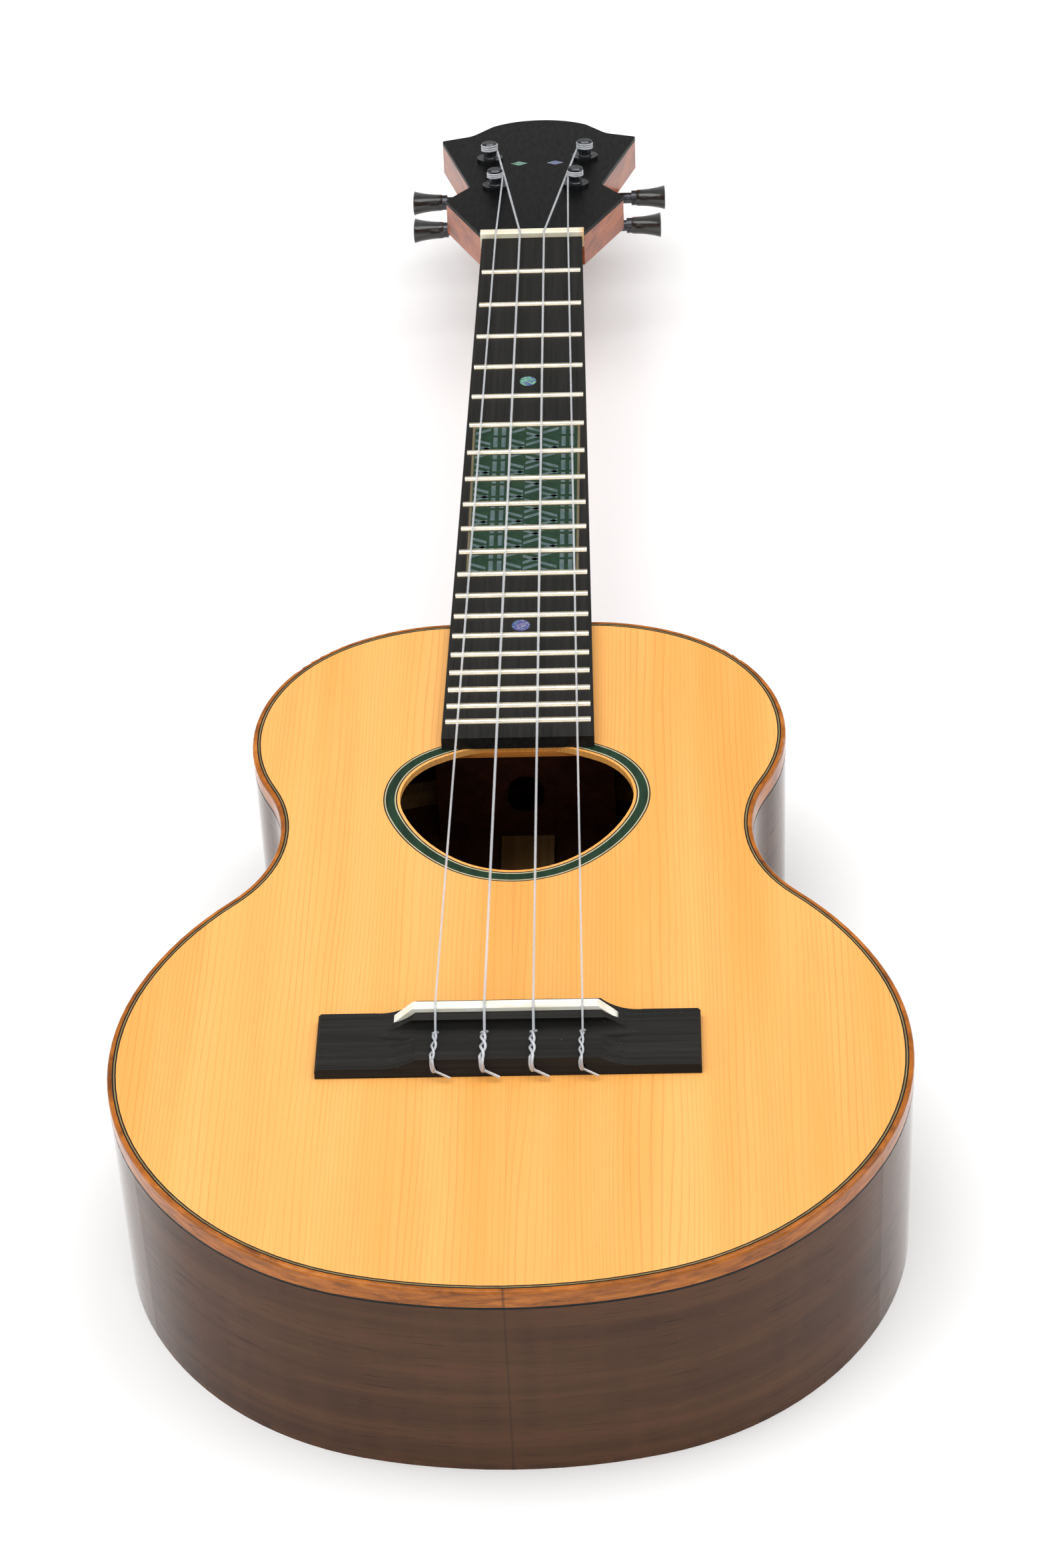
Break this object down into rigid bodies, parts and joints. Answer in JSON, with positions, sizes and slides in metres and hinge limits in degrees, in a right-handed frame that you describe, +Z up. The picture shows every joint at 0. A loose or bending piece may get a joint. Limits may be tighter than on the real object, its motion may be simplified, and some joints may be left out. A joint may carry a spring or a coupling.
{
  "type": "tenor ukulele",
  "caption": "Figure-eight wooden ukulele with nylon strings, dark ring rosette, inlaid fretboard, tie bridge with bone saddle and open worm-gear tuners.",
  "frame": {"origin": "centre of the bounding box in plan, at the bottom, on the flat back", "axes": "+Z up out of the soundboard, +Y from the tail to the head along the strings, +X toward the treble (thinnest string) side"},
  "size_m": [0.2364, 0.6834, 0.084],
  "materials": {
    "spruce_top": "satin lacquer over straight-grained spruce",
    "rosette_green": "dark green dyed inlay, satin",
    "inlay_white": "pale maple inlay line",
    "inlay_black": "black dyed inlay line",
    "doubler_wood": "bare warm brown wood",
    "side_wood": "dark brown wood, gloss lacquer",
    "inner_spruce": "bare spruce",
    "block_wood": "bare reddish mahogany",
    "binding_wood": "figured orange-brown wood, gloss lacquer",
    "neck_wood": "orange-brown mahogany, gloss lacquer",
    "head_gloss": "black veneer, high gloss",
    "abalone": "iridescent shell",
    "ebony": "near-black ebony, low sheen",
    "panel_green": "dark green inlay with a grey-blue key pattern",
    "fret_metal": "polished nickel silver",
    "bone": "polished bone",
    "bridge_ebony": "matte black ebony",
    "nylon": "clear nylon",
    "tuner_metal": "dark nickel plate",
    "gear_brass": "cut brass",
    "button_black": "black gloss"
  },
  "bodies": {
    "instrument": {"soundboard": "spruce_top", "rosette_green": "rosette_green", "rosette_white": "inlay_white", "rosette_black": "inlay_black", "soundhole_doubler": "doubler_wood", "back": "side_wood", "side_bass": "side_wood", "side_treble": "side_wood", "top_linings": "inner_spruce", "back_linings": "inner_spruce", "head_block": "block_wood", "tail_block": "block_wood", "top_binding": "binding_wood", "purfling_black": "inlay_black", "purfling_white": "inlay_white", "side_purfling": "inlay_black", "harmonic_bars": "inner_spruce", "bridge_plate": "inner_spruce", "fan_braces": "inner_spruce", "back_strip": "inner_spruce", "back_braces": "inner_spruce", "neck": "neck_wood", "neck_bolts": "tuner_metal", "head_plate": "head_gloss", "head_inlays": "abalone", "fretboard": "ebony", "fretboard_panel": "panel_green", "fret_markers": "abalone", "frets": "fret_metal", "nut": "bone", "bridge": "bridge_ebony", "saddle": "bone", "string_g": "nylon", "string_c": "nylon", "string_e": "nylon", "string_a": "nylon", "tuner_bushings": "tuner_metal", "tuner_plates": "tuner_metal", "tuner_screws": "tuner_metal"},
    "button_shaft_lower_right": {"worm_lower_right": "tuner_metal", "button_lower_right": "button_black"},
    "string_post_lower_right": {"post_lower_right": "tuner_metal", "gear_lower_right": "gear_brass", "gear_screw_lower_right": "tuner_metal"},
    "button_shaft_lower_left": {"worm_lower_left": "tuner_metal", "button_lower_left": "button_black"},
    "string_post_lower_left": {"post_lower_left": "tuner_metal", "gear_lower_left": "gear_brass", "gear_screw_lower_left": "tuner_metal"},
    "button_shaft_upper_right": {"worm_upper_right": "tuner_metal", "button_upper_right": "button_black"},
    "string_post_upper_right": {"post_upper_right": "tuner_metal", "gear_upper_right": "gear_brass", "gear_screw_upper_right": "tuner_metal"},
    "button_shaft_upper_left": {"worm_upper_left": "tuner_metal", "button_upper_left": "button_black"},
    "string_post_upper_left": {"post_upper_left": "tuner_metal", "gear_upper_left": "gear_brass", "gear_screw_upper_left": "tuner_metal"}
  },
  "joints": [
    {"name": "button_spin_lower_right", "type": "hinge", "parent": "instrument", "child": "button_shaft_lower_right", "pos_m": [0.0159, 0.26221, 0.04443], "axis": [1, 0, 0], "continuous": true},
    {"name": "post_spin_lower_right", "type": "hinge", "parent": "instrument", "child": "string_post_lower_right", "pos_m": [0.0159, 0.25487, 0.04599], "axis": [0, 0.2079, 0.9781], "continuous": true},
    {"name": "button_spin_lower_left", "type": "hinge", "parent": "instrument", "child": "button_shaft_lower_left", "pos_m": [-0.0159, 0.26221, 0.04443], "axis": [1, 0, 0], "continuous": true},
    {"name": "post_spin_lower_left", "type": "hinge", "parent": "instrument", "child": "string_post_lower_left", "pos_m": [-0.0159, 0.25487, 0.04599], "axis": [0, 0.2079, 0.9781], "continuous": true},
    {"name": "button_spin_upper_right", "type": "hinge", "parent": "instrument", "child": "button_shaft_upper_right", "pos_m": [0.0192, 0.29517, 0.03742], "axis": [1, 0, 0], "continuous": true},
    {"name": "post_spin_upper_right", "type": "hinge", "parent": "instrument", "child": "string_post_upper_right", "pos_m": [0.0192, 0.28784, 0.03898], "axis": [0, 0.2079, 0.9781], "continuous": true},
    {"name": "button_spin_upper_left", "type": "hinge", "parent": "instrument", "child": "button_shaft_upper_left", "pos_m": [-0.0192, 0.29517, 0.03742], "axis": [1, 0, 0], "continuous": true},
    {"name": "post_spin_upper_left", "type": "hinge", "parent": "instrument", "child": "string_post_upper_left", "pos_m": [-0.0192, 0.28784, 0.03898], "axis": [0, 0.2079, 0.9781], "continuous": true}
  ],
  "couplings": [
    {"joint": "post_spin_lower_right", "follows": "button_spin_lower_right", "ratio": -0.071429},
    {"joint": "post_spin_lower_left", "follows": "button_spin_lower_left", "ratio": 0.071429},
    {"joint": "post_spin_upper_right", "follows": "button_spin_upper_right", "ratio": -0.071429},
    {"joint": "post_spin_upper_left", "follows": "button_spin_upper_left", "ratio": 0.071429}
  ]
}
